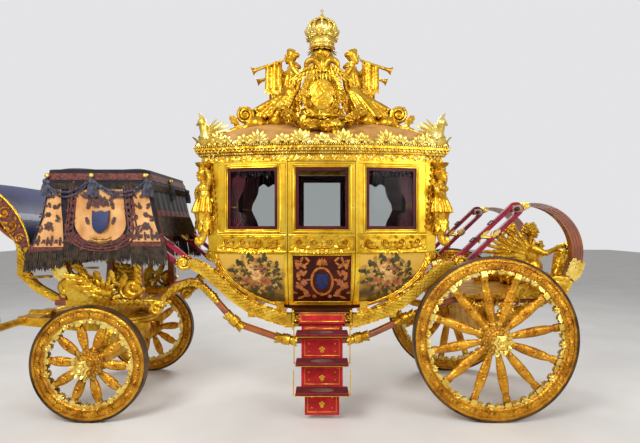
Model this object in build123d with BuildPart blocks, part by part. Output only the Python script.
from build123d import *
from math import asin, atan2, cos, degrees, radians, sin, sqrt
import os

os.makedirs("parts", exist_ok=True)

# A gilded state coach standing on its own wheels. All sizes are in millimetres.
# +X is the rear, -X is the front, -Y is the coach's left side and +Z is up.
# The origin is on the floor, midway between the footboard's tip and the rear springs.

# The whole
front_reach = 3150  # from the door's middle to the footboard's tip
rear_spring_out = 1896  # from the door's middle to the rear springs' centre
spring_radius = 440
rear_reach = rear_spring_out + spring_radius
door_x = (front_reach - rear_reach) / 2
front_axle_x = door_x - 2000
rear_axle_x = door_x + 1490

# Wheels
front_wheel_radius = 500
rear_wheel_radius = 710
half_track = 685  # from the middle plane to the middle of a rim
tyre_thickness = 18
tyre_width = 66
felloe_depth = 98
felloe_width = 70
nave_radius = 118
nave_inner = 150  # how far a nave reaches inwards from the rim's middle
nave_outer = 62
hub_cap_reach = 145
hub_cap_radius = 92
bore_radius = 38
bore_depth = 235
running_fit = 0.06
moving_gap = 6

# The fore-carriage, which steers
axle_bed_width = 110
axle_bed_height = 120
ring_radius = 330
ring_width = 60
ring_thickness = 24
ring_z = 752  # underside of the lower turning ring
king_pin_radius = 26
futchell_y = 210
futchell_width = 64
splinter_bar_x = front_axle_x - 880
splinter_bar_z = 770
splinter_bar_radius = 34
splinter_bar_half = 610
roller_bolt_radius = 18
roller_bolt_height = 60
roller_bolt_y = 555
pole_socket_radius = 45
pole_socket_wall = 20
pole_socket_length = 220

# Perches and the frames at both ends
perch_y = 450
perch_radius = 31
collar_out = 12  # how far a collar stands off a perch
collar_length = 70
perch_collars = (0.379, 0.482, 0.617, 0.713)  # shares of a perch's length
rail_depth = 48
rail_height = 70
rail_z = 985  # middle height of the front rails, clear above the turned wheels
rear_rail_z = 1010
deck_thickness = 26
deck_sink = 8  # how far the rear deck is let down over the perches
deck_half = 535
spring_y = 500
spring_width = 66
spring_inner_radius = 413
spring_shift = 75
spring_z = 1448
front_spring_x = door_x - 1980
rear_spring_x = door_x + rear_spring_out
spring_base_angle = -38
spring_tip_angle = 97
brace_width = 44
brace_thickness = 12
roller_radius = 30
cheek_thickness = 9
soft_gap = 0.3
saddle_length = 380
brace_spring_dx = 155  # from a spring's centre towards the body to its brace roller
brace_spring_dz = 385
brace_body_x = 1235  # from the door's middle to the roller at a sling's end
brace_body_z = 1352

# The body
body_half_width = 600
plan_radius = 3450
body_half_length = 1100
belt_half_length = 1020
belt_z = 1500
keel_drop = 600  # from the belt to the keel
tuck_z = 1450
tuck_radius = 930
wall_top = 2255
wall = 45
floor_z = 965
belt_low = 1453
belt_high = 1600
belt_out = 12
corner_x = 930  # from the door's middle to where a corner post starts
door_half = 300
door_low = 962
door_high = wall_top - moving_gap
hinge_out = 16  # from the wall's face out to the hinge line
hinge_set = 10  # from a door's edge to the hinge line
window_low = 1650
window_high = 2200
door_window_half = 235
quarter_window = (392, 852)
front_window_half = 215
sash_width = 28
sash_inset = 8
sash_depth = 26
glass_inset = 18
glass_thickness = 4
cornice_high = 2385
cornice_out = 62
dome_rise = 315

# Slings under the body
sling_y = 500
sling_width = 80
bearer_low = 850  # underside of the bearers that join the slings under the body

# Steps on the left side
steps_half = 265
steps_y = -598  # the first hinge line
step_top = 832  # underside of the housing
step_box_height = 118
first_drop = 74
step_rise = 224
step_run = 26
tread_depth = 172
tread_half = 222
tread_thickness = 24
riser_half = 180
riser_thickness = 14
barrel_radius = 9
barrel_half = 186
lug_gap = 1
lug_width = 12
pin_radius = 5
flap_low = 45

# Coachman's seat: front and rear from the door's middle, and half the width
cloth_low = 1270
cloth_high = 2185
cloth_middle_z = 1750
cloth_top = (-2440, -1570, 540)
cloth_middle = (-2530, -1470, 560)
cloth_foot = (-2680, -1290, 622)
cloth_thickness = 15
hem_rise = 100
rear_hem = 1575  # the back of the cloth ends above the front braces
rear_hem_half = 560
stand_half = 26  # half a stand leg's thickness
stand_gap = 3  # between the legs and the springs beside them
stand_y = spring_y - spring_width / 2 - stand_half - stand_gap
board_radius = 720
board_half = 450
board_high = 2050
board_low = 1490
board_heel = 2700
board_thickness = 28
bracket_y = 430
bracket_width = 46
footplate_z = 1208
footplate_thickness = 16

# Inside, corners and roof ornament
bench_middle = 700
bench_depth = 420
bench_height = 380
bench_back = 55
bench_back_height = 860
post_x = 1060
post_low = 1500
post_out = 12  # how far a post's axis stands off the wall
crest_inset = 22
finial_inset = 112  # from the cresting back to a corner finial's middle
crest_thickness = 18
crest_rail = 24
crest_steps = 6
crest_end_count = 5
plinth_half = 660
roll_radius = 88
roll_half = 240
roll_sink = 13  # how far a roll is let into the plinth's end
plinth_half_width = 300
figure_x = 315
figure_y = 165
trumpet_reach = 650
trumpet_z = 3215
medallion_y = 290
medallion_z = 2990
crown_low = 3430
crown_top = 3880
crown_radius = 120
child_x = 2000
child_y = 230


def save(part, name):
    part.label = name
    export_step(part, f"parts/{name}.step")


def side_plane(y):
    """A sketch plane at y, with +X to the right and +Z up."""
    return Plane(origin=(0, y, 0), x_dir=(1, 0, 0), z_dir=(0, -1, 0))


def cross_plane(x):
    """A sketch plane at x, with +X across the coach and +Z up."""
    return Plane(origin=(x, 0, 0), x_dir=(0, 1, 0), z_dir=(1, 0, 0))


# Wheels: each turns about Y, its rim, spokes and nave in one piece, its iron tyre shrunk on.
def make_wheel(name, x, side, radius, spokes, phase):
    centre = Vector(x, side * half_track, radius)
    section = Plane(origin=centre, x_dir=(0, side, 0), z_dir=(side, 0, 0))
    face = Plane(origin=centre, x_dir=(-side, 0, 0), z_dir=(0, side, 0))
    axle = Axis(centre, (0, side, 0))
    rim_outer = radius - tyre_thickness
    rim_inner = rim_outer - felloe_depth
    with BuildPart() as wheel:
        with BuildSketch(section):
            with BuildLine():
                Polyline(
                    (-felloe_width / 2, rim_inner + 12),
                    (-felloe_width / 2 + 12, rim_inner),
                    (felloe_width / 2 - 12, rim_inner),
                    (felloe_width / 2, rim_inner + 12),
                    (felloe_width / 2, rim_inner + 30),
                    (felloe_width / 2 - 8, rim_inner + 36),
                    (felloe_width / 2 - 8, rim_outer - 26),
                    (felloe_width / 2, rim_outer - 20),
                    (felloe_width / 2, rim_outer),
                    (-felloe_width / 2, rim_outer),
                    close=True,
                )
            make_face()
        revolve(axis=axle)
        with BuildSketch(section):
            with BuildLine():
                Polyline(
                    (-nave_inner, 0),
                    (-nave_inner, 74),
                    (-nave_inner + 40, 88),
                    (-nave_inner + 44, nave_radius - 14),
                    (-44, nave_radius),
                    (44, nave_radius),
                    (nave_outer, nave_radius - 16),
                    (nave_outer + 6, hub_cap_radius),
                    (nave_outer + 26, hub_cap_radius),
                    (nave_outer + 36, hub_cap_radius - 22),
                    (hub_cap_reach - 30, hub_cap_radius - 28),
                    (hub_cap_reach - 14, hub_cap_radius - 46),
                    (hub_cap_reach, 20),
                    (hub_cap_reach, 0),
                    close=True,
                )
            make_face()
        revolve(axis=axle)
        reach = rim_inner + 10
        waist = nave_radius + 0.42 * (reach - nave_radius)
        half_spoke = (
            (nave_radius - 20, 24),
            (nave_radius + 30, 25),
            (nave_radius + 42, 31),
            (waist, 37),
            (reach - 78, 22),
            (reach - 66, 30),
            (reach - 24, 33),
            (reach, 46),
        )
        with BuildSketch(face):
            with PolarLocations(0, spokes, start_angle=phase):
                Polygon(*half_spoke, *[(x, -y) for x, y in reversed(half_spoke)], align=None)
        extrude(amount=22, both=True)
        with BuildSketch(face):
            with PolarLocations(reach - 8, spokes, start_angle=phase + 180 / spokes):
                Circle(30)
                with Locations((-6, 38), (-6, -38)):
                    Circle(18)
        extrude(amount=12, both=True)
        with BuildSketch(section):
            with Locations((bore_depth / 2 - nave_inner, bore_radius / 2)):
                Rectangle(bore_depth, bore_radius)
        revolve(axis=axle, mode=Mode.SUBTRACT)
    save(wheel.part, f"{name}_wheel")
    with BuildPart() as tyre:
        with BuildSketch(section):
            with Locations((0, radius - tyre_thickness / 2)):
                Rectangle(tyre_width, tyre_thickness)
        revolve(axis=axle)
    save(tyre.part, f"{name}_tyre")


wheels = (  # name, x, side, radius, spokes, phase
    ("front_left", front_axle_x, -1, front_wheel_radius, 10, -4),
    ("front_right", front_axle_x, 1, front_wheel_radius, 10, -4),
    ("rear_left", rear_axle_x, -1, rear_wheel_radius, 12, 10.5),
    ("rear_right", rear_axle_x, 1, rear_wheel_radius, 12, 10.5),
)
for row in wheels:
    make_wheel(*row)


def add_axle(x, z):
    """A timber bed with a round arm at each end, in the part being built."""
    shoulder = half_track - nave_inner - moving_gap
    arm_end = half_track - nave_inner + bore_depth - 5
    with Locations((x, 0, z)):
        Box(axle_bed_width, 2 * shoulder, axle_bed_height)
        with Locations(Rotation(90, 0, 0)):
            Cylinder(bore_radius - running_fit, 2 * arm_end)


# The fore-carriage: axle, bolster, lower turning ring, futchells, splinter bar and pole socket.
ring_top = ring_z + ring_thickness
with BuildPart() as fore_carriage:
    add_axle(front_axle_x, front_wheel_radius)
    bolster_low = front_wheel_radius + axle_bed_height / 2
    with BuildSketch(cross_plane(front_axle_x)):
        with BuildLine():
            Polyline(
                (-430, bolster_low),
                (-430, bolster_low + 30),
                (-ring_radius, ring_z),
                (ring_radius, ring_z),
                (430, bolster_low + 30),
                (430, bolster_low),
                close=True,
            )
        make_face()
    extrude(amount=axle_bed_width / 2, both=True)
    with BuildSketch(Plane.XY.offset(ring_z)):
        with Locations((front_axle_x, 0)):
            Circle(ring_radius)
            Circle(ring_radius - ring_width, mode=Mode.SUBTRACT)
            Rectangle(axle_bed_width, 2 * ring_radius - 20)
    extrude(amount=ring_thickness)
    for side in (-1, 1):
        with BuildSketch(side_plane(side * futchell_y)):
            with BuildLine():
                Polyline(
                    (front_axle_x + 330, ring_z - 70),
                    (front_axle_x + 330, ring_z),
                    (front_axle_x - 330, ring_z),
                    (splinter_bar_x - 40, splinter_bar_z + 40),
                    (splinter_bar_x - 40, splinter_bar_z - 40),
                    (front_axle_x - 330, ring_z - 80),
                    close=True,
                )
            make_face()
        extrude(amount=futchell_width / 2, both=True)
    with Locations((splinter_bar_x, 0, splinter_bar_z)):
        with Locations(Rotation(90, 0, 0)):
            Cylinder(splinter_bar_radius, 2 * splinter_bar_half)
        with Locations((0, -splinter_bar_half, 0), (0, splinter_bar_half, 0)):
            Sphere(splinter_bar_radius + 12)
        with Locations((0, -roller_bolt_y, 0), (0, roller_bolt_y, 0)):
            Cylinder(
                roller_bolt_radius,
                splinter_bar_radius + roller_bolt_height,
                align=(Align.CENTER, Align.CENTER, Align.MIN),
            )
    socket_x = splinter_bar_x - 60
    with BuildSketch(Plane(origin=(socket_x, 0, splinter_bar_z), x_dir=(0, 1, 0), z_dir=(1, 0, 0))):
        Circle(pole_socket_radius + pole_socket_wall)
        Rectangle(2 * futchell_y, 60)
    extrude(amount=pole_socket_length)
    with BuildSketch(Plane(origin=(socket_x, 0, splinter_bar_z), x_dir=(0, 1, 0), z_dir=(1, 0, 0))):
        Circle(pole_socket_radius)
    extrude(amount=pole_socket_length, mode=Mode.SUBTRACT)
    with Locations((front_axle_x, 0, ring_top)):
        Hole(king_pin_radius + running_fit, depth=ring_top - front_wheel_radius)
save(fore_carriage.part, "fore_carriage")

upper_ring_z = ring_top + moving_gap
rail_low = rail_z - rail_height / 2
rail_front_x = front_axle_x - 420
rail_rear_x = front_axle_x + 480

# Perches: the front rail, the crane neck over the turned wheel, the run under the body, the rear rail.
perch_route = (  # x from the door's middle, z, corner radius
    (rail_front_x - door_x, rail_z, 0),
    (-1480, rail_z, 90),
    (-1340, 1140, 90),
    (-1150, 1190, 110),
    (-980, 1020, 160),
    (-780, 795, 220),
    (-330, 640, 700),
    (330, 640, 900),
    (820, 870, 300),
    (1180, rear_rail_z, 300),
    (2120, rear_rail_z, 0),
)
with BuildPart() as perches:
    for side in (-1, 1):
        with BuildLine(side_plane(side * perch_y)) as perch_line:
            FilletPolyline(
                *[(door_x + x, z) for x, z, _ in perch_route],
                radius=[r for _, _, r in perch_route[1:-1]],
            )
        route = perch_line.wire()
        with BuildSketch(Plane(origin=route @ 0, z_dir=route % 0)):
            Circle(perch_radius)
        sweep(path=route)
        for share in perch_collars:
            with BuildSketch(Plane(origin=route @ share, z_dir=route % share)):
                Circle(perch_radius + collar_out)
            extrude(amount=collar_length / 2, both=True)
save(perches.part, "perches")

# Upper front carriage: turning ring, king pin, transom and two rails that run into the perches.
with BuildPart() as front_carriage:
    with BuildSketch(Plane.XY.offset(upper_ring_z)):
        with Locations((front_axle_x, 0)):
            Circle(ring_radius)
            Circle(ring_radius - ring_width, mode=Mode.SUBTRACT)
            Rectangle(axle_bed_width, 2 * ring_radius - 20)
    extrude(amount=ring_thickness)
    with Locations((front_axle_x, 0, front_wheel_radius + 80)):
        Cylinder(
            king_pin_radius,
            upper_ring_z - front_wheel_radius - 80 + 10,
            align=(Align.CENTER, Align.CENTER, Align.MIN),
        )
    with BuildSketch(cross_plane(front_axle_x)):
        with BuildLine():
            Polyline(
                (-ring_radius, upper_ring_z + ring_thickness),
                (-perch_y, rail_low + 12),
                (-perch_y, rail_z + 20),
                (perch_y, rail_z + 20),
                (perch_y, rail_low + 12),
                (ring_radius, upper_ring_z + ring_thickness),
                close=True,
            )
        make_face()
    extrude(amount=axle_bed_width / 2 + 12, both=True)
    for x in (rail_front_x + 60, rail_rear_x - 60):
        with Locations((x, 0, rail_z)):
            Box(76, 2 * perch_y, rail_depth)
    add(perches.part, mode=Mode.SUBTRACT)
save(front_carriage.part, "front_carriage")


# Rear carriage: axle, bolster, deck frame and the brackets that hold the rear springs.
deck_z = rear_rail_z + perch_radius
deck_top = deck_z + deck_thickness


def crescent(x_centre, facing):
    """Outline of a spring in the current sketch: facing is 1 where it bulges to +X, -1 to -X."""
    with Locations((x_centre, spring_z)):
        Circle(spring_radius)
    with Locations((x_centre - facing * spring_shift, spring_z)):
        Circle(spring_inner_radius, mode=Mode.SUBTRACT)
    far = 3 * spring_radius
    base = radians(spring_base_angle)
    tip = radians(spring_tip_angle)
    with Locations((x_centre, spring_z)):
        Polygon(
            (0, 0),
            (facing * far * cos(base), far * sin(base)),
            (facing * far, 0),
            (facing * far, far),
            (facing * far * cos(tip), far * sin(tip)),
            align=None,
            mode=Mode.INTERSECT,
        )


def spring_seat(x_centre, facing, foot_x, foot_z):
    """Outline of the bracket under a spring, from the spring's cut end to the rail."""
    base = radians(spring_base_angle)
    outer = Vector(x_centre + facing * spring_radius * cos(base), spring_z + spring_radius * sin(base))
    inner_reach = spring_radius - 92
    inner = Vector(x_centre + facing * inner_reach * cos(base), spring_z + inner_reach * sin(base))
    Polygon(
        (inner.X, inner.Y),
        (outer.X, outer.Y),
        (outer.X - facing * 60, foot_z),
        (foot_x, foot_z),
        (foot_x, foot_z + 60),
        align=None,
    )


with BuildPart() as rear_carriage:
    add_axle(rear_axle_x, rear_wheel_radius)
    with BuildSketch(cross_plane(rear_axle_x)):
        with BuildLine():
            Polyline(
                (-400, rear_wheel_radius + 55),
                (-perch_y, rear_rail_z - 24),
                (-perch_y, rear_rail_z + 20),
                (perch_y, rear_rail_z + 20),
                (perch_y, rear_rail_z - 24),
                (400, rear_wheel_radius + 55),
                close=True,
            )
        make_face()
    extrude(amount=60, both=True)
    for x in (door_x + 1250, door_x + 2080):
        with Locations((x, 0, rear_rail_z)):
            Box(80, 2 * perch_y, rail_depth)
    with Locations((door_x + 1665, 0, deck_z - deck_sink)):
        Box(930, 2 * deck_half, deck_thickness + deck_sink, align=(Align.CENTER, Align.CENTER, Align.MIN))
    add(perches.part, mode=Mode.SUBTRACT)
save(rear_carriage.part, "rear_carriage")


# Springs: a crescent of leaves, with a round jack at the tip that the brace wraps.
def make_springs(name, x_centre, facing):
    with BuildPart() as springs:
        for side in (-1, 1):
            with BuildSketch(side_plane(side * spring_y)):
                crescent(x_centre, facing)
            extrude(amount=spring_width / 2, both=True)
            roller_x = x_centre - facing * brace_spring_dx
            roller_z = spring_z + brace_spring_dz
            for cheek in (-1, 1):
                cheek_y = side * spring_y + cheek * (spring_width - cheek_thickness) / 2
                with BuildSketch(side_plane(cheek_y)):
                    Polygon(
                        (roller_x - facing * 38, roller_z - 30),
                        (roller_x - facing * 38, roller_z + 30),
                        (x_centre - facing * 20, spring_z + spring_radius - 3),
                        (x_centre - facing * 20, spring_z + spring_radius - 30),
                        (roller_x + facing * 38, roller_z - 30),
                        align=None,
                    )
                extrude(amount=cheek_thickness / 2, both=True)
            with BuildSketch(side_plane(side * spring_y)):
                with Locations((roller_x, roller_z)):
                    Circle(roller_radius)
            extrude(amount=spring_width / 2, both=True)
    save(springs.part, name)


make_springs("front_springs", front_spring_x, -1)
make_springs("rear_springs", rear_spring_x, 1)


# Spring brackets under the springs' cut ends: the rear ones stand on the deck, the front ones on the rails.
def make_brackets(name, x_centre, facing, foot_x, foot_z):
    with BuildPart() as brackets:
        for side in (-1, 1):
            with BuildSketch(side_plane(side * spring_y)):
                spring_seat(x_centre, facing, foot_x, foot_z)
            extrude(amount=spring_width / 2, both=True)
            if foot_z < deck_top:
                with Locations((foot_x, side * (spring_y + spring_width / 2), foot_z)):
                    Box(
                        saddle_length,
                        spring_y + spring_width / 2 - perch_y + 20,
                        perch_radius + 18,
                        align=(Align.MAX, Align.MIN if side < 0 else Align.MAX, Align.MAX),
                    )
        add(perches.part, mode=Mode.SUBTRACT)
    save(brackets.part, name)


make_brackets("front_brackets", front_spring_x, -1, front_axle_x + 90, rail_z + perch_radius)
make_brackets("rear_brackets", rear_spring_x, 1, door_x + 1700, deck_top)


# Braces: each a doubled leather strap round the spring's roller and the sling's roller.
def make_braces(name, x_centre, facing):
    with BuildPart() as braces:
        for side in (-1, 1):
            high = Vector(x_centre - facing * brace_spring_dx, spring_z + brace_spring_dz)
            low = Vector(door_x + facing * brace_body_x, brace_body_z)
            run = high - low
            middle = (high + low) * 0.5
            turn = degrees(atan2(run.Y, run.X))
            with BuildSketch(side_plane(side * spring_y)):
                with Locations(Location((middle.X, middle.Y), turn)):
                    SlotCenterToCenter(run.length, 2 * (roller_radius + soft_gap + brace_thickness))
                    SlotCenterToCenter(run.length, 2 * (roller_radius + soft_gap), mode=Mode.SUBTRACT)
            extrude(amount=brace_width / 2, both=True)
    save(braces.part, name)


make_braces("front_braces", front_spring_x, -1)
make_braces("rear_braces", rear_spring_x, 1)

# The body: a boat-shaped box, bowed in plan, its sides curving in below the belt.
def body_form(inset, low, high):
    """The body's outer form drawn in by inset, between two heights."""
    with BuildPart() as form:
        with BuildSketch(side_plane(0)):
            with BuildLine():
                edge = belt_half_length - inset
                top = body_half_length - inset
                EllipticalCenterArc(
                    (door_x, belt_z), edge, keel_drop - inset, start_angle=180, arc_size=180
                )
                Polyline(
                    (door_x + edge, belt_z),
                    (door_x + top, wall_top),
                    (door_x + top, wall_top + 400),
                    (door_x - top, wall_top + 400),
                    (door_x - top, wall_top),
                    (door_x - edge, belt_z),
                )
            make_face()
        extrude(amount=body_half_width + 100, both=True)
        for side in (-1, 1):
            axis_y = side * (body_half_width - plan_radius)
            outer = body_half_width - inset
            with BuildPart(mode=Mode.PRIVATE) as bulge:
                with BuildSketch(cross_plane(door_x)):
                    with BuildLine():
                        bottom = tuck_z - 700
                        lean = tuck_radius - inset
                        drop = lean - sqrt(lean**2 - 700**2)
                        mid = lean - sqrt(lean**2 - 350**2)
                        ThreePointArc(
                            (side * outer, tuck_z),
                            (side * (outer - mid), tuck_z - 350),
                            (side * (outer - drop), bottom),
                        )
                        Polyline(
                            (side * (outer - drop), bottom),
                            (axis_y, bottom),
                            (axis_y, wall_top + 500),
                            (side * outer, wall_top + 500),
                            (side * outer, tuck_z),
                        )
                    make_face()
                revolve(axis=Axis((door_x, axis_y, 0), (0, 0, 1)))
            add(bulge.part, mode=Mode.INTERSECT)
        with Locations((door_x, 0, low)):
            Box(4000, 2000, high - low, align=(Align.CENTER, Align.CENTER, Align.MIN), mode=Mode.INTERSECT)
    return form.part


keel_z = belt_z - keel_drop
outer_form = body_form(0, keel_z - 10, wall_top)
band_form = body_form(-belt_out, belt_low, belt_high)
cavity = body_form(wall, floor_z, wall_top + 10)
hinge_x = door_x - door_half - hinge_set
hinge_y = body_half_width - plan_radius + sqrt(plan_radius**2 - (door_half + hinge_set) ** 2) + hinge_out


def door_zone(side, grow):
    """The space a door takes, its free edge struck round the hinge line."""
    with BuildPart() as zone:
        with Locations((hinge_x, side * hinge_y, door_low - grow)):
            Cylinder(
                2 * door_half + grow,
                door_high - door_low + 2 * grow,
                align=(Align.CENTER, Align.CENTER, Align.MIN),
            )
        with Locations((hinge_x + hinge_set - grow, side * (hinge_y + 20), door_low - grow)):
            Box(
                3 * door_half,
                hinge_y - 200,
                door_high - door_low + 2 * grow,
                align=(Align.MIN, Align.MIN if side < 0 else Align.MAX, Align.MIN),
                mode=Mode.INTERSECT,
            )
    return zone.part


with BuildPart() as shell:
    add(outer_form)
    add(band_form)
    add(cavity, mode=Mode.SUBTRACT)
    for side in (-1, 1):
        add(door_zone(side, moving_gap), mode=Mode.SUBTRACT)


# Slings: carved beams that carry the body, with a roller at each end for the braces.
sling_route = (  # x from the door's middle, middle height, depth
    (0, 834, 104),
    (300, 836, 104),
    (560, 912, 104),
    (757, 1022, 96),
    (925, 1180, 80),
    (1060, 1290, 66),
    (1130, 1325, 60),
)
with BuildPart() as slings:
    for side in (-1, 1):
        with BuildSketch(side_plane(side * sling_y)):
            with BuildLine():
                top = [(x, z + d / 2) for x, z, d in sling_route]
                low = [(x, z - d / 2) for x, z, d in sling_route]
                right = top[1:] + low[:0:-1]
                left = [(-x, z) for x, z in reversed(right)]
                Polyline(*[(door_x + x, z) for x, z in right + left], close=True)
            make_face()
        extrude(amount=sling_width / 2, both=True)
        for end in (-1, 1):
            with BuildSketch(side_plane(side * sling_y)):
                with Locations((door_x + end * brace_body_x, brace_body_z)):
                    Circle(roller_radius)
            extrude(amount=sling_width / 2, both=True)
            for cheek in (-1, 1):
                cheek_y = side * sling_y + cheek * (sling_width - cheek_thickness) / 2
                with BuildSketch(side_plane(cheek_y)):
                    with BuildLine():
                        Polyline(
                            (door_x + end * 1100, 1282),
                            (door_x + end * 1100, 1338),
                            (door_x + end * (brace_body_x - 20), brace_body_z + 34),
                            (door_x + end * (brace_body_x + 34), brace_body_z + 20),
                            (door_x + end * (brace_body_x + 34), brace_body_z - 26),
                            close=True,
                        )
                    make_face()
                extrude(amount=cheek_thickness / 2, both=True)
    for x in (-640, -380, 380, 640):
        with Locations((door_x + x, 0, bearer_low)):
            Box(70, 2 * sling_y - sling_width, 260, align=(Align.CENTER, Align.CENTER, Align.MIN))
    add(outer_form, mode=Mode.SUBTRACT)
save(slings.part, "slings")


def window_box(x_low, x_high, side, grow):
    """A box that cuts a side window through a wall."""
    with BuildPart() as cut:
        with Locations(((x_low + x_high) / 2, side * body_half_width, (window_low + window_high) / 2)):
            Box(x_high - x_low + 2 * grow, 500, window_high - window_low + 2 * grow)
    return cut.part


with BuildPart() as front_window:
    with Locations((door_x - body_half_length, 0, (window_low + window_high) / 2)):
        Box(400, 2 * front_window_half, window_high - window_low)


def part_of_shell(name, x_low, x_high, y_low, y_high, z_low, z_high, cut):
    """One panel of the shell, bounded by planes, with its window cut."""
    with BuildPart() as panel:
        add(shell.part)
        with Locations(((x_low + x_high) / 2, (y_low + y_high) / 2, (z_low + z_high) / 2)):
            Box(x_high - x_low, y_high - y_low, z_high - z_low, mode=Mode.INTERSECT)
        if cut is not None:
            add(cut, mode=Mode.SUBTRACT)
    save(panel.part, name)


far = 2000
part_of_shell("body_floor", -far, far, -far, far, 0, floor_z, None)
part_of_shell("front_wall", -far, door_x - corner_x, -far, far, floor_z, far * 2, front_window.part)
part_of_shell("rear_wall", door_x + corner_x, far, -far, far, floor_z, far * 2, None)
quarters = (  # name, end, side
    ("front_left_quarter", -1, -1),
    ("front_right_quarter", -1, 1),
    ("rear_left_quarter", 1, -1),
    ("rear_right_quarter", 1, 1),
)
for name, end, side in quarters:
    x_near, x_far = sorted((door_x, door_x + end * corner_x))
    low_x, high_x = sorted(door_x + end * x for x in quarter_window)
    y_near, y_far = sorted((0, side * far))
    part_of_shell(
        name, x_near, x_far, y_near, y_far, floor_z, far * 2, window_box(low_x, high_x, side, 0)
    )


# Sashes and glass follow the bowed wall.
def ring_of_form(outer_inset, inner_inset, box, hole):
    """The layer between two insets of the body's form inside box, less hole."""
    with BuildPart() as layer:
        add(body_form(outer_inset, belt_low, wall_top))
        add(body_form(inner_inset, belt_low - 10, wall_top + 10), mode=Mode.SUBTRACT)
        add(box, mode=Mode.INTERSECT)
        if hole is not None:
            add(hole, mode=Mode.SUBTRACT)
    return layer.part


with BuildPart() as quarter_sashes:
    for name, end, side in quarters:
        low_x, high_x = sorted(door_x + end * x for x in quarter_window)
        add(
            ring_of_form(
                sash_inset,
                sash_inset + sash_depth,
                window_box(low_x, high_x, side, 0),
                window_box(low_x, high_x, side, -sash_width),
            )
        )
save(quarter_sashes.part, "quarter_sashes")
with BuildPart() as quarter_glass:
    for name, end, side in quarters:
        low_x, high_x = sorted(door_x + end * x for x in quarter_window)
        add(
            ring_of_form(
                glass_inset,
                glass_inset + glass_thickness,
                window_box(low_x, high_x, side, -sash_width),
                None,
            )
        )
save(quarter_glass.part, "quarter_glass")

with BuildPart() as front_glass:
    add(ring_of_form(glass_inset, glass_inset + glass_thickness, front_window.part, None))
save(front_glass.part, "front_glass")

# Doors: hinged at their front edge, each as thick as the wall.
for name, side in (("left", -1), ("right", 1)):
    low_x, high_x = door_x - door_window_half, door_x + door_window_half
    with BuildPart() as door:
        add(outer_form)
        add(band_form)
        add(body_form(wall, keel_z - 20, wall_top + 10), mode=Mode.SUBTRACT)
        add(door_zone(side, 0), mode=Mode.INTERSECT)
        add(window_box(low_x, high_x, side, 0), mode=Mode.SUBTRACT)
    save(door.part, f"{name}_door")
    sash = ring_of_form(
        sash_inset,
        sash_inset + sash_depth,
        window_box(low_x, high_x, side, 0),
        window_box(low_x, high_x, side, -sash_width),
    )
    save(sash, f"{name}_door_sash")
    glass = ring_of_form(
        glass_inset,
        glass_inset + glass_thickness,
        window_box(low_x, high_x, side, -sash_width),
        None,
    )
    save(glass, f"{name}_door_glass")


# Cornice and roof follow the same bowed plan.
def plan_face(out):
    """The body's plan at the wall's top, grown by out, in the current sketch."""
    half = body_half_length + out
    reach = plan_radius + out
    for side in (-1, 1):
        with Locations((door_x, side * (body_half_width - plan_radius))):
            Circle(reach, mode=Mode.ADD if side < 0 else Mode.INTERSECT)
    with Locations((door_x, 0)):
        Rectangle(2 * half, 3 * body_half_width, mode=Mode.INTERSECT)


cornice_layers = (  # bottom, top, how far it stands out
    (wall_top, 2318, 6),
    (2318, 2340, 26),
    (2340, 2362, 44),
    (2362, cornice_high, cornice_out),
)
with BuildPart() as cornice:
    for low, high, out in cornice_layers:
        with BuildSketch(Plane.XY.offset(low)):
            plan_face(out)
        extrude(amount=high - low)
    with BuildSketch(Plane.XY.offset(wall_top)):
        plan_face(-wall)
    extrude(amount=cornice_high - wall_top, mode=Mode.SUBTRACT)
save(cornice.part, "cornice")

with BuildPart() as roof:
    with BuildSketch(Plane.XY.offset(wall_top + 60)):
        plan_face(-wall)
    extrude(amount=cornice_high - wall_top - 60)
    with BuildSketch(Plane.XY.offset(cornice_high)):
        plan_face(0)
    extrude(amount=dome_rise)
    with BuildSketch(side_plane(0)):
        with BuildLine():
            ThreePointArc(
                (door_x - body_half_length - 60, cornice_high),
                (door_x, cornice_high + dome_rise),
                (door_x + body_half_length + 60, cornice_high),
            )
            Polyline(
                (door_x + body_half_length + 60, cornice_high),
                (door_x + body_half_length + 60, wall_top),
                (door_x - body_half_length - 60, wall_top),
                (door_x - body_half_length - 60, cornice_high),
            )
        make_face()
    extrude(amount=2 * body_half_width, both=True, mode=Mode.INTERSECT)
    with BuildSketch(cross_plane(door_x)):
        with BuildLine():
            ThreePointArc(
                (-body_half_width - 20, cornice_high),
                (0, cornice_high + dome_rise),
                (body_half_width + 20, cornice_high),
            )
            Polyline(
                (body_half_width + 20, cornice_high),
                (body_half_width + 20, wall_top),
                (-body_half_width - 20, wall_top),
                (-body_half_width - 20, cornice_high),
            )
        make_face()
    extrude(amount=2 * body_half_length, both=True, mode=Mode.INTERSECT)
save(roof.part, "roof")

# Benches inside: one at each end, as wide as the body leaves room for.
room = body_form(wall + 1, floor_z, wall_top)
with BuildPart() as benches:
    for end in (-1, 1):
        with Locations((door_x + end * bench_middle, 0, floor_z)):
            Box(
                bench_depth,
                2 * body_half_width,
                bench_height,
                align=(Align.CENTER, Align.CENTER, Align.MIN),
            )
        with Locations((door_x + end * (bench_middle + bench_depth / 2), 0, floor_z)):
            Box(
                2 * bench_back,
                2 * body_half_width,
                bench_back_height,
                align=(Align.CENTER, Align.CENTER, Align.MIN),
            )
    add(room, mode=Mode.INTERSECT)
save(benches.part, "benches")


# Corner posts: a tapering term with a bust and a capital at each corner of the body.
def bow_at(x, half_width, radius):
    """Half the bowed plan's width at x from the door's middle."""
    return half_width - radius + sqrt(radius**2 - x**2)


def turned_form(profile):
    """A form turned about Z from rows of height and radius."""
    with BuildPart(mode=Mode.PRIVATE) as form:
        with BuildSketch(Plane.XZ):
            Polygon(
                (0, profile[0][0]),
                *[(r, z) for z, r in profile],
                (0, profile[-1][0]),
                align=None,
            )
        revolve(axis=Axis.Z)
    return form.part


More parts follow.
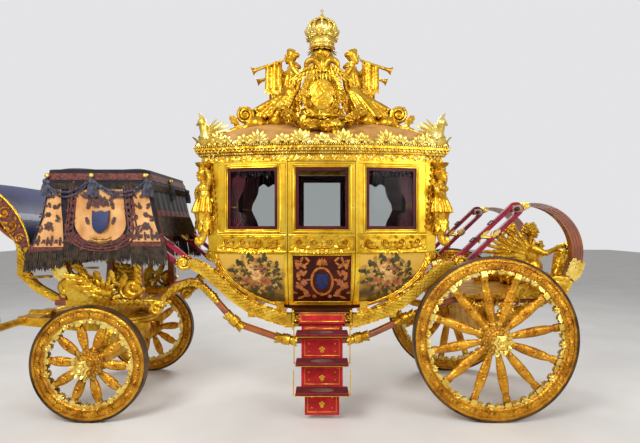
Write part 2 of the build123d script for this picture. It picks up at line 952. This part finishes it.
def limb(start, end, start_radius, end_radius):
    """A tapered round bar between two points."""
    along = Vector(*end) - Vector(*start)
    with BuildPart(mode=Mode.PRIVATE) as bar:
        with BuildSketch(Plane(origin=start, z_dir=along)):
            Circle(start_radius)
        with BuildSketch(Plane(origin=end, z_dir=along)):
            Circle(end_radius)
        loft()
    return bar.part


def place(form, at):
    """Adds a form to the part being built, moved to a point."""
    add(form.moved(Location(at)))


post_profile = (  # height, radius: foot, hips, waist, chest, head and capital
    (post_low, 18),
    (post_low + 26, 46),
    (post_low + 84, 40),
    (post_low + 110, 32),
    (post_low + 300, 84),
    (post_low + 345, 88),
    (post_low + 400, 58),
    (post_low + 500, 82),
    (post_low + 545, 66),
    (post_low + 570, 28),
    (post_low + 590, 34),
    (post_low + 625, 52),
    (post_low + 670, 50),
    (post_low + 700, 30),
    (post_low + 706, 62),
    (wall_top, 68),
)
wall_y = bow_at(post_x, body_half_width, plan_radius) + soft_gap
wall_turn = degrees(asin(post_x / plan_radius))
post = turned_form(post_profile)


def end_at(z):
    """The body's half length at a height above the belt's middle."""
    share = (z - belt_z) / (wall_top - belt_z)
    return belt_half_length + share * (body_half_length - belt_half_length)


def corner_zone(end, side, out, low, high):
    """The body's corner between two heights, out proud of the wall, that a post stands against."""
    with BuildPart(mode=Mode.PRIVATE) as zone:
        with BuildSketch(side_plane(0)):
            Polygon(
                (door_x, low),
                (door_x + end * (end_at(low) + soft_gap + out), low),
                (door_x + end * (end_at(high) + soft_gap + out), high),
                (door_x, high),
                align=None,
            )
        extrude(amount=body_half_width, both=True)
        with Locations(
            Location(
                (door_x + end * post_x, side * (wall_y + out / cos(asin(post_x / plan_radius))), belt_z),
                (0, 0, -side * end * wall_turn),
            )
        ):
            Box(
                3000,
                2000,
                3000,
                align=(Align.CENTER, Align.MAX if side > 0 else Align.MIN, Align.CENTER),
                mode=Mode.INTERSECT,
            )
    return zone.part


with BuildPart() as corner_posts:
    for end in (-1, 1):
        for side in (-1, 1):
            with BuildPart(mode=Mode.PRIVATE) as term:
                place(post, (door_x + end * post_x, side * (wall_y + post_out), 0))
                add(corner_zone(end, side, 0, belt_high, wall_top + 100), mode=Mode.SUBTRACT)
                add(
                    corner_zone(end, side, belt_out, post_low - 100, belt_high + soft_gap),
                    mode=Mode.SUBTRACT,
                )
            add(term.part)
save(corner_posts.part, "corner_posts")

# Roof cresting: palmettes on a low rail round the cornice.
leaf = (  # a palmette's right half: across, up
    (16, 0),
    (22, 26),
    (46, 46),
    (56, 78),
    (42, 84),
    (40, 116),
    (24, 118),
    (14, 142),
    (0, 158),
)
palmette = leaf + tuple((-x, z) for x, z in reversed(leaf[:-1]))
crest_radius = plan_radius + cornice_out - crest_inset
crest_half = body_half_length + cornice_out - crest_inset
end_half = bow_at(crest_half, body_half_width + cornice_out - crest_inset, crest_radius)
with BuildPart() as cresting:
    with BuildSketch(Plane.XY.offset(cornice_high)):
        plan_face(cornice_out - crest_inset + crest_thickness / 2)
        plan_face_inner = cornice_out - crest_inset - crest_thickness / 2
        with BuildSketch(Plane.XY, mode=Mode.PRIVATE) as inner:
            plan_face(plan_face_inner)
        add(inner.sketch, mode=Mode.SUBTRACT)
    extrude(amount=crest_rail)
    for side in (-1, 1):
        for step in range(-crest_steps, crest_steps + 1):
            x = step * crest_half / (crest_steps + 0.5)
            y = side * bow_at(x, body_half_width + cornice_out - crest_inset, crest_radius)
            turn = degrees(asin(x / crest_radius))
            with BuildSketch(
                Plane(
                    origin=(door_x + x, y, cornice_high + crest_rail - 2),
                    x_dir=(cos(radians(turn)), -side * sin(radians(turn)), 0),
                    z_dir=(-side * sin(radians(turn)), -cos(radians(turn)), 0),
                )
            ):
                Polygon(*palmette, align=None)
            extrude(amount=crest_thickness / 2, both=True)
        for step in range(crest_end_count):
            y = (step - (crest_end_count - 1) / 2) * 2 * end_half / crest_end_count
            with BuildSketch(
                Plane(
                    origin=(door_x + side * crest_half, y, cornice_high + crest_rail - 2),
                    x_dir=(0, 1, 0),
                    z_dir=(1, 0, 0),
                )
            ):
                Polygon(*palmette, align=None)
            extrude(amount=crest_thickness / 2, both=True)
save(cresting.part, "roof_cresting")

# Corner finials: an arched beast, all neck and fin, on each corner of the cornice.
beast = (  # outwards, up
    (-70, 0),
    (60, 0),
    (82, 60),
    (70, 120),
    (96, 170),
    (84, 214),
    (52, 236),
    (16, 226),
    (2, 190),
    (-28, 216),
    (-78, 262),
    (-66, 200),
    (-92, 176),
    (-62, 130),
    (-84, 70),
)
finial_x = body_half_length + cornice_out - crest_inset - finial_inset
finial_y = bow_at(finial_x, body_half_width, plan_radius) - 66
with BuildPart() as finials:
    for end in (-1, 1):
        for side in (-1, 1):
            with BuildSketch(side_plane(side * finial_y)):
                with Locations((door_x + end * finial_x, cornice_high + 2)):
                    Polygon(*[(end * x, z) for x, z in beast], align=None)
            extrude(amount=26, both=True)
    add(roof.part, mode=Mode.SUBTRACT)
save(finials.part, "corner_finials")


# Roof group: a plinth on the dome, four seated trumpeters, two medallions and the crown.
plinth_top = cornice_high + dome_rise + 45
with BuildPart() as plinth:
    with BuildSketch(Plane.XY.offset(cornice_high + 60)):
        with Locations((door_x, 0)):
            RectangleRounded(2 * plinth_half, 2 * plinth_half_width, 120)
    extrude(amount=plinth_top - cornice_high - 60)
    with BuildSketch(Plane.XY.offset(plinth_top)):
        with Locations((door_x, 0)):
            Circle(70)
    extrude(amount=crown_low - plinth_top)
    with BuildSketch(side_plane(0)):
        for end in (-1, 1):
            with Locations((door_x + end * (plinth_half + roll_radius - roll_sink), plinth_top)):
                Circle(roll_radius)
    extrude(amount=roll_half, both=True)
    add(roof.part, mode=Mode.SUBTRACT)
save(plinth.part, "roof_plinth")

skirt_profile = (  # height, radius
    (0, 150),
    (60, 158),
    (170, 118),
    (300, 66),
    (330, 62),
)
torso_profile = (  # height, radius
    (310, 58),
    (380, 74),
    (450, 84),
    (480, 60),
    (500, 28),
    (530, 26),
)
skirt = turned_form(skirt_profile)
torso = turned_form(torso_profile)
with BuildPart() as figures:
    for end in (-1, 1):
        for side in (-1, 1):
            base = (door_x + end * figure_x, side * figure_y, plinth_top)
            place(skirt, base)
            place(torso, base)
            head = (base[0], base[1], plinth_top + 580)
            with Locations(head):
                Sphere(62)
            mouth = (head[0] + end * 50, head[1], head[2] - 16)
            bell = (door_x + end * trumpet_reach, base[1], trumpet_z)
            add(limb(mouth, bell, 9, 15))
            flare = Vector(*bell) + (Vector(*bell) - Vector(*mouth)).normalized() * 60
            add(limb(bell, (flare.X, flare.Y, flare.Z), 15, 42))
            shoulder = (base[0] + end * 40, base[1], plinth_top + 462)
            hand = (base[0] + end * 170, base[1], plinth_top + 500)
            add(limb(shoulder, hand, 34, 24))
            add(limb((base[0], base[1], plinth_top + 440), (door_x + end * 160, base[1], 3080), 32, 24))
            knee = (base[0] + end * 210, base[1], plinth_top + 150)
            add(limb((base[0], base[1], plinth_top + 170), knee, 92, 72))
            add(limb(knee, (base[0] + end * 270, base[1], plinth_top + 30), 72, 46))
    with Locations((door_x, 0, 0)):
        Box(
            5000,
            2 * (figure_y - 70),
            6000,
            mode=Mode.SUBTRACT,
        )
save(figures.part, "roof_figures")

with BuildPart() as medallions:
    for side in (-1, 1):
        with BuildSketch(side_plane(side * medallion_y)):
            with Locations((door_x, medallion_z)):
                Ellipse(166, 212)
        extrude(amount=22, both=True)
        with BuildSketch(side_plane(side * medallion_y)):
            with Locations((door_x, medallion_z + 190)):
                Polygon(
                    (0, -20),
                    (60, 10),
                    (150, 20),
                    (205, 110),
                    (190, 200),
                    (120, 130),
                    (50, 90),
                    (0, 110),
                    (-50, 90),
                    (-120, 130),
                    (-190, 200),
                    (-205, 110),
                    (-150, 20),
                    (-60, 10),
                    align=None,
                )
        extrude(amount=14, both=True)
        with BuildSketch(side_plane(side * medallion_y)):
            with Locations((door_x, plinth_top)):
                Polygon((-120, 0), (120, 0), (80, 90), (-80, 90), align=None)
        extrude(amount=30, both=True)
save(medallions.part, "medallions")

crown_band_profile = (  # height, radius
    (0, crown_radius - 14),
    (8, crown_radius),
    (22, crown_radius),
    (30, crown_radius - 8),
    (62, crown_radius - 8),
    (70, crown_radius + 2),
    (84, crown_radius + 2),
    (84, crown_radius - 22),
)
crown_band = turned_form(crown_band_profile)
with BuildPart() as crown:
    place(crown_band, (door_x, 0, crown_low))
    for turn in range(4):
        arch_plane = Plane(
            origin=(door_x, 0, crown_low),
            x_dir=(cos(radians(45 * turn + 22)), sin(radians(45 * turn + 22)), 0),
            z_dir=(sin(radians(45 * turn + 22)), -cos(radians(45 * turn + 22)), 0),
        )
        with BuildSketch(arch_plane):
            with Locations((0, 150)):
                Ellipse(crown_radius + 34, 156)
                Ellipse(crown_radius + 14, 136, mode=Mode.SUBTRACT)
            with Locations((0, 84 - 300)):
                Rectangle(800, 600, mode=Mode.SUBTRACT)
        extrude(amount=11, both=True)
    with Locations((door_x, 0, crown_top - 70)):
        Sphere(42)
    with Locations((door_x, 0, crown_top - 22)):
        Sphere(22)
    with Locations((door_x, 0, crown_top - 130)):
        Cylinder(16, 60)
save(crown.part, "crown")

# Rear group: two winged children seated on the deck, each with a horn of plenty.
child_profile = (  # height, radius
    (0, 120),
    (70, 118),
    (150, 96),
    (230, 84),
    (330, 96),
    (370, 60),
    (390, 34),
    (420, 34),
)
child_body = turned_form(child_profile)
child_limbs = (  # start, end, radii: thighs, shins, arm, horn and its tail
    ((12, 0, 100), (220, 0, 120), 62, 54),
    ((214, 0, 126), (246, 0, 30), 50, 36),
    ((10, 8, 316), (200, 6, 452), 40, 30),
    ((140, -6, 300), (240, -6, 620), 30, 78),
    ((104, -16, 120), (156, -6, 322), 18, 30),
)
wing = ((-30, -40), (-120, 30), (-240, 60), (-200, 200), (-60, 120), (0, 60))
with BuildPart() as rear_figures:
    for side in (-1, 1):
        x, y, z = door_x + child_x, side * child_y, deck_top
        place(child_body, (x, y, z))
        with Locations((x + 5, y, z + 480)):
            Sphere(88)
        for start, end, first, last in child_limbs:
            add(
                limb(
                    (x + start[0], y + side * start[1], z + start[2]),
                    (x + end[0], y + side * end[1], z + end[2]),
                    first,
                    last,
                )
            )
        with BuildSketch(side_plane(y + side * 21)):
            with Locations((x, z + 300)):
                Polygon(*wing, align=None)
        extrude(amount=16, both=True)
save(rear_figures.part, "rear_figures")

# Coachman's seat: a timber stand on the rails, a seat board and the cloth that hangs over it.
seat_middle = (cloth_top[0] + cloth_top[1]) / 2
with BuildPart() as box_stand:
    for side in (-1, 1):
        for foot, head_x in ((-2360, -2290), (-1660, -1720)):
            with BuildSketch(side_plane(side * stand_y)):
                Polygon(
                    (door_x + foot - 34, rail_z + rail_depth / 2),
                    (door_x + foot + 34, rail_z + rail_depth / 2),
                    (door_x + head_x + 26, cloth_high - 120),
                    (door_x + head_x - 26, cloth_high - 120),
                    align=None,
                )
            extrude(amount=stand_half, both=True)
    with Locations((door_x + seat_middle, 0, cloth_high - 120)):
        Box(
            cloth_top[1] - cloth_top[0] - 80,
            2 * cloth_top[2] - 80,
            120 - cloth_thickness - soft_gap,
            align=(Align.CENTER, Align.CENTER, Align.MIN),
        )
    add(perches.part, mode=Mode.SUBTRACT)
save(box_stand.part, "box_stand")


def cloth_form(inset, low_shift):
    """The cloth's form, drawn in by inset and reaching down by low_shift more."""
    with BuildPart(mode=Mode.PRIVATE) as form:
        for z, (front, rear, half) in (
            (cloth_low - low_shift, cloth_foot),
            (cloth_middle_z, cloth_middle),
            (cloth_high - inset, cloth_top),
        ):
            with BuildSketch(Plane.XY.offset(z)):
                with Locations((door_x + (front + rear) / 2, 0)):
                    Rectangle(rear - front - 2 * inset, 2 * (half - inset))
        loft(ruled=True)
    return form.part


with BuildPart() as hammercloth:
    add(cloth_form(0, 0))
    add(cloth_form(cloth_thickness, 60), mode=Mode.SUBTRACT)
    with BuildSketch(side_plane(0)):
        Polygon(
            (door_x + cloth_foot[0] - 50, cloth_low - 100),
            (door_x + cloth_foot[0] - 50, cloth_low),
            (door_x + cloth_foot[1] + 50, cloth_low + hem_rise),
            (door_x + cloth_foot[1] + 50, cloth_low - 100),
            align=None,
        )
    extrude(amount=1000, both=True, mode=Mode.SUBTRACT)
    with Locations((door_x + cloth_foot[1] - 190, 0, cloth_low)):
        Box(
            300,
            2 * rear_hem_half,
            rear_hem - cloth_low,
            align=(Align.MIN, Align.CENTER, Align.MIN),
            mode=Mode.SUBTRACT,
        )
save(hammercloth.part, "hammercloth")

# Footboard: a curved board before the coachman's feet.
with BuildPart() as footboard:
    with BuildSketch(side_plane(0)):
        with BuildLine():
            toe = (door_x - front_reach, board_high)
            heel = (door_x - board_heel, board_low)
            inner_heel = (heel[0] + board_thickness, heel[1] + 4)
            inner_toe = (toe[0] + board_thickness, toe[1] + 10)
            RadiusArc(heel, toe, board_radius)
            Line(toe, inner_toe)
            RadiusArc(inner_toe, inner_heel, -board_radius)
            Line(inner_heel, heel)
        make_face()
    extrude(amount=board_half, both=True)
save(footboard.part, "footboard")

# Brackets from the front rails up to the footboard, each with a small round footplate.
with BuildPart() as footboard_brackets:
    for side in (-1, 1):
        with BuildSketch(side_plane(side * bracket_y)):
            Polygon(
                (rail_front_x + 20, rail_z + 10),
                (rail_front_x - 10, rail_z + 10),
                (rail_front_x - 170, 1080),
                (heel[0] - 80, 1230),
                (heel[0] - 80, board_low - 60),
                (heel[0] - 20, board_low + 20),
                (heel[0] + board_thickness, board_low + 4),
                (heel[0] - 10, board_low - 60),
                (heel[0] - 4, 1255),
                (rail_front_x - 150, 1140),
                (rail_front_x + 20, rail_z + 60),
                align=None,
            )
        extrude(amount=bracket_width / 2, both=True)
        with BuildSketch(Plane.XY.offset(footplate_z)):
            with Locations((rail_front_x - 150, side * bracket_y)):
                Ellipse(96, 62)
        extrude(amount=footplate_thickness)
    add(footboard.part, mode=Mode.SUBTRACT)
    add(perches.part, mode=Mode.SUBTRACT)
save(footboard_brackets.part, "footboard_brackets")

# Steps on the left: a housing on the sling and three leaves, each hinged on the one above.
sling_face = -(sling_y + sling_width / 2)
with BuildPart() as step_housing:
    with Locations((door_x, sling_face, step_top)):
        Box(
            2 * steps_half,
            -steps_y + sling_face + 34,
            step_box_height,
            align=(Align.CENTER, Align.MAX, Align.MIN),
        )
    for side in (-1, 1):
        with Locations((door_x + side * (barrel_half + lug_gap), steps_y, step_top)):
            Box(
                lug_width,
                26,
                2 * barrel_radius + 12,
                align=(Align.MIN if side > 0 else Align.MAX, Align.CENTER, Align.MAX),
            )
            with Locations((side * lug_width / 2, 0, -barrel_radius - moving_gap)):
                with Locations(Rotation(0, 90, 0)):
                    Cylinder(pin_radius + running_fit, 2 * lug_width, mode=Mode.SUBTRACT)
save(step_housing.part, "step_housing")

step_rows = (  # name, hinge height, hinge distance out, drop to the tread's underside
    ("step_leaf_1", step_top - barrel_radius - moving_gap, -steps_y, first_drop),
    ("step_leaf_2", 0, -steps_y + step_run, step_rise),
    ("step_leaf_3", 0, -steps_y + 2 * step_run, step_rise),
)
hinge_z = step_rows[0][1]
step_hinges = []
for index, (name, _, out, drop) in enumerate(step_rows):
    last = index == len(step_rows) - 1
    step_hinges.append((-out, hinge_z))
    tread_low = hinge_z - drop
    with BuildPart() as leaf_part:
        with Locations(Location((door_x, -out, hinge_z), (0, 90, 0))):
            Cylinder(barrel_radius, 2 * barrel_half)
            Cylinder(pin_radius, 2 * (barrel_half + lug_gap + lug_width))
        with Locations((door_x, -out, hinge_z)):
            Box(2 * riser_half, riser_thickness, drop, align=(Align.CENTER, Align.CENTER, Align.MAX))
        with Locations((door_x, -out + riser_thickness / 2, tread_low)):
            Box(
                2 * tread_half,
                tread_depth,
                tread_thickness,
                align=(Align.CENTER, Align.MAX, Align.MIN),
            )
        next_z = tread_low - barrel_radius - moving_gap
        if last:
            with Locations((door_x, -out, tread_low)):
                Box(
                    2 * riser_half - 60,
                    riser_thickness,
                    tread_low - flap_low,
                    align=(Align.CENTER, Align.CENTER, Align.MAX),
                )
        else:
            for side in (-1, 1):
                with Locations((door_x + side * (barrel_half + lug_gap), -out - step_run, tread_low)):
                    Box(
                        lug_width,
                        26,
                        2 * barrel_radius + 12,
                        align=(Align.MIN if side > 0 else Align.MAX, Align.CENTER, Align.MAX),
                    )
                    with Locations((side * lug_width / 2, 0, -barrel_radius - moving_gap)):
                        with Locations(Rotation(0, 90, 0)):
                            Cylinder(pin_radius + running_fit, 2 * lug_width, mode=Mode.SUBTRACT)
    save(leaf_part.part, name)
    hinge_z = next_z
print("step hinges", step_hinges)
print("door hinge", hinge_x, hinge_y)
print("axles", front_axle_x, rear_axle_x, "socket", splinter_bar_x - 60, splinter_bar_z)
